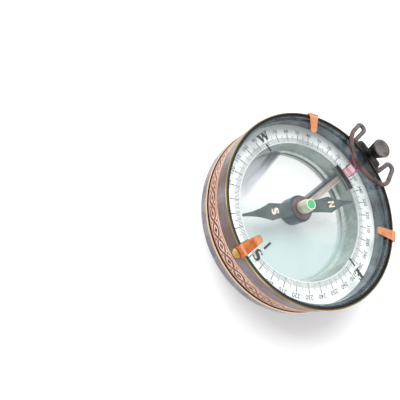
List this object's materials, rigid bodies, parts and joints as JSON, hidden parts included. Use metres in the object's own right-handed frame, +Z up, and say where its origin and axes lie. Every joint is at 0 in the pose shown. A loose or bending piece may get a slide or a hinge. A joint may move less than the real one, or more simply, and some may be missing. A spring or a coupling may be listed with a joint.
{
  "type": "map reading compass",
  "caption": "Drum-shaped compass with a deep engraved dial under glass, a needle on a bracket arm over a magnifier floor, a clamp knob and a folding bow.",
  "frame": {"origin": "centre of the base ring's foot, on the case's axis", "axes": "+Z up through the cover glass, +Y from the axis towards the lug and the dial's north, +X towards the dial's east"},
  "size_m": [0.0778, 0.0874, 0.0297],
  "materials": {
    "base_metal": "dark grey patina with a bright worn edge",
    "barrel_metal": "glossy blue grey lacquer",
    "copper_band": "satin pink copper, engraved",
    "bezel_metal": "satin purple grey patina with a gold edge",
    "gasket": "matte",
    "lens_glass": "clear, slightly green",
    "retainer_metal": "bright turned metal",
    "well_metal": "satin grey green",
    "dial_white": "white enamel with grey marks",
    "cover_glass": "clear, polished",
    "clip_copper": "polished orange copper",
    "screw_brass": "polished",
    "arm_metal": "dark brown satin",
    "screw_steel": "satin",
    "hub_metal": "dark blue grey with a bright bevel",
    "needle_slate": "satin slate grey",
    "collar_metal": "satin purple grey",
    "cap_brass": "polished pale brass",
    "jewel_green": "glossy green",
    "lug_metal": "satin purple grey",
    "bow_metal": "satin brown purple",
    "knob_bronze": "dark bronze"
  },
  "bodies": {
    "case": {"base_ring": "base_metal", "case_barrel": "barrel_metal", "engraved_band": "copper_band", "bezel_ring": "bezel_metal", "lens_gasket": "gasket", "magnifier_lens": "lens_glass", "lens_retainer": "retainer_metal", "dial_carrier": "well_metal", "dial_ring": "dial_white", "glass_seat": "barrel_metal", "cover_glass": "cover_glass", "glass_clip_1": "clip_copper", "glass_clip_2": "clip_copper", "glass_clip_3": "clip_copper", "clip_screws": "screw_brass", "pivot_arm": "arm_metal", "arm_screws": "screw_steel", "pivot_hub": "hub_metal", "pivot_pin": "screw_steel", "bow_lug": "lug_metal"},
    "needle_assembly": {"needle": "needle_slate", "needle_collar": "collar_metal", "needle_cap": "cap_brass", "cap_jewel": "jewel_green"},
    "bow": {"bow": "bow_metal"},
    "knob": {"clamp_knob": "knob_bronze", "clamp_spindle": "knob_bronze"}
  },
  "joints": [
    {"name": "needle_spin", "type": "hinge", "parent": "case", "child": "needle_assembly", "pos_m": [0, 0, 0.0117], "axis": [0, 0, 1], "continuous": true},
    {"name": "bow_swing", "type": "hinge", "parent": "case", "child": "bow", "pos_m": [0.0007, 0.03965, 0.0202], "axis": [-1, 0, 0], "range_deg": [0, 115]},
    {"name": "knob_turn", "type": "hinge", "parent": "case", "child": "knob", "pos_m": [0.0007, 0.03965, 0.0202], "axis": [0, 0, 1], "range_deg": [0, 720]}
  ]
}
